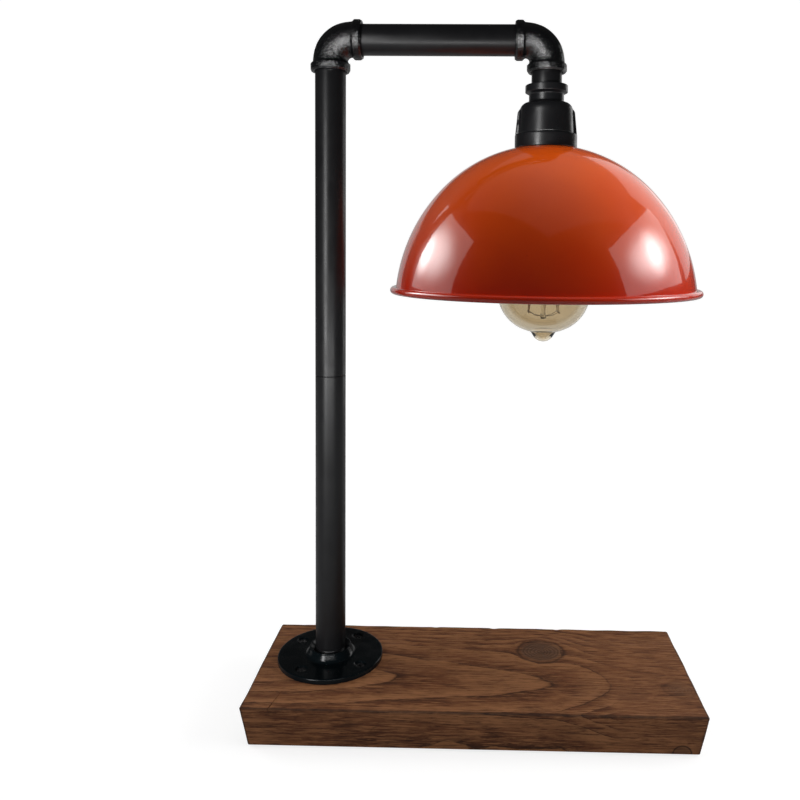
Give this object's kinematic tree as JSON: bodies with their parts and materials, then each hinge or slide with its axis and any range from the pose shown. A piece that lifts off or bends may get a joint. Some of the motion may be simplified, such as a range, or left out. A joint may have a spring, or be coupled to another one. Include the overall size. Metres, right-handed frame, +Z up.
{
  "type": "table lamp",
  "caption": "Table lamp of black pipe and pipe fittings on a stained wooden block, with an elbow arm, a tilting domed enamel shade and a pear-shaped filament bulb.",
  "frame": {"origin": "on the table, under the middle of the lamp's outer box", "axes": "+Z up along the post; +X along the arm, from the post to the shade; +Y to the back, where the cord inlet is"},
  "size_m": [0.3044, 0.2146, 0.482],
  "materials": {
    "stained_wood": "walnut-stained softwood, satin",
    "pad_rubber": "matt",
    "plate_paint": "satin black paint",
    "plain_steel": "plain zinc-plated steel",
    "bush_rubber": "matt",
    "nylon": "natural nylon",
    "brass": "plain",
    "core_sleeve": "smooth",
    "cast_black": "black coating over a rough casting",
    "screw_black": "black",
    "pipe_black": "satin black powder coat",
    "flex_sheath": "matt",
    "holder_black": "moulded black",
    "ceramic": "glazed",
    "fibre": "pressed fibre",
    "orange_enamel": "gloss orange enamel outside, white inside",
    "amber_glass": "clear, champagne tint",
    "stem_glass": "clear",
    "lead_wire": "plain",
    "filament_wire": "dull",
    "cap_brass": "lacquered",
    "cap_glass": "black glass"
  },
  "bodies": {
    "stand": {"wood_base": "stained_wood", "base_pads": "pad_rubber", "cover_plate": "plate_paint", "cover_screws": "plain_steel", "cord_bush": "bush_rubber", "terminal_block": "nylon", "terminal_tubes": "brass", "terminal_screws": "brass", "base_cores": "core_sleeve", "floor_flange": "cast_black", "flange_screws": "screw_black", "post_lower_pipe": "pipe_black", "post_sleeve": "plain_steel", "post_upper_pipe": "pipe_black", "flex_stand": "flex_sheath"},
    "arm": {"post_elbow": "cast_black", "arm_pipe": "pipe_black", "flex_arm": "flex_sheath"},
    "head": {"head_elbow": "cast_black", "head_nipple": "pipe_black", "reducer": "cast_black", "holder_body": "holder_black", "holder_insulator": "ceramic", "holder_shell": "brass", "holder_contact": "brass", "holder_screws": "brass", "shade_washer": "fibre", "shade": "orange_enamel", "flex_head": "flex_sheath", "flex_cores": "core_sleeve"},
    "bulb": {"bulb_glass": "amber_glass", "bulb_stem": "stem_glass", "bulb_supports": "lead_wire", "bulb_filament": "filament_wire", "bulb_cap": "cap_brass", "bulb_insulator": "cap_glass", "bulb_contact": "cap_brass"}
  },
  "joints": [
    {"name": "arm_swing", "type": "hinge", "parent": "stand", "child": "arm", "pos_m": [-0.10508, 0, 0.4503], "axis": [0, 0, 1], "range_deg": [-90, 90]},
    {"name": "head_tilt", "type": "hinge", "parent": "arm", "child": "head", "pos_m": [0.02722, 0, 0.468], "axis": [1, 0, 0], "range_deg": [-45, 45]},
    {"name": "bulb_draw", "type": "slide", "parent": "head", "child": "bulb", "axis": [0, 0, -1], "range_m": [0, 0.12]}
  ]
}
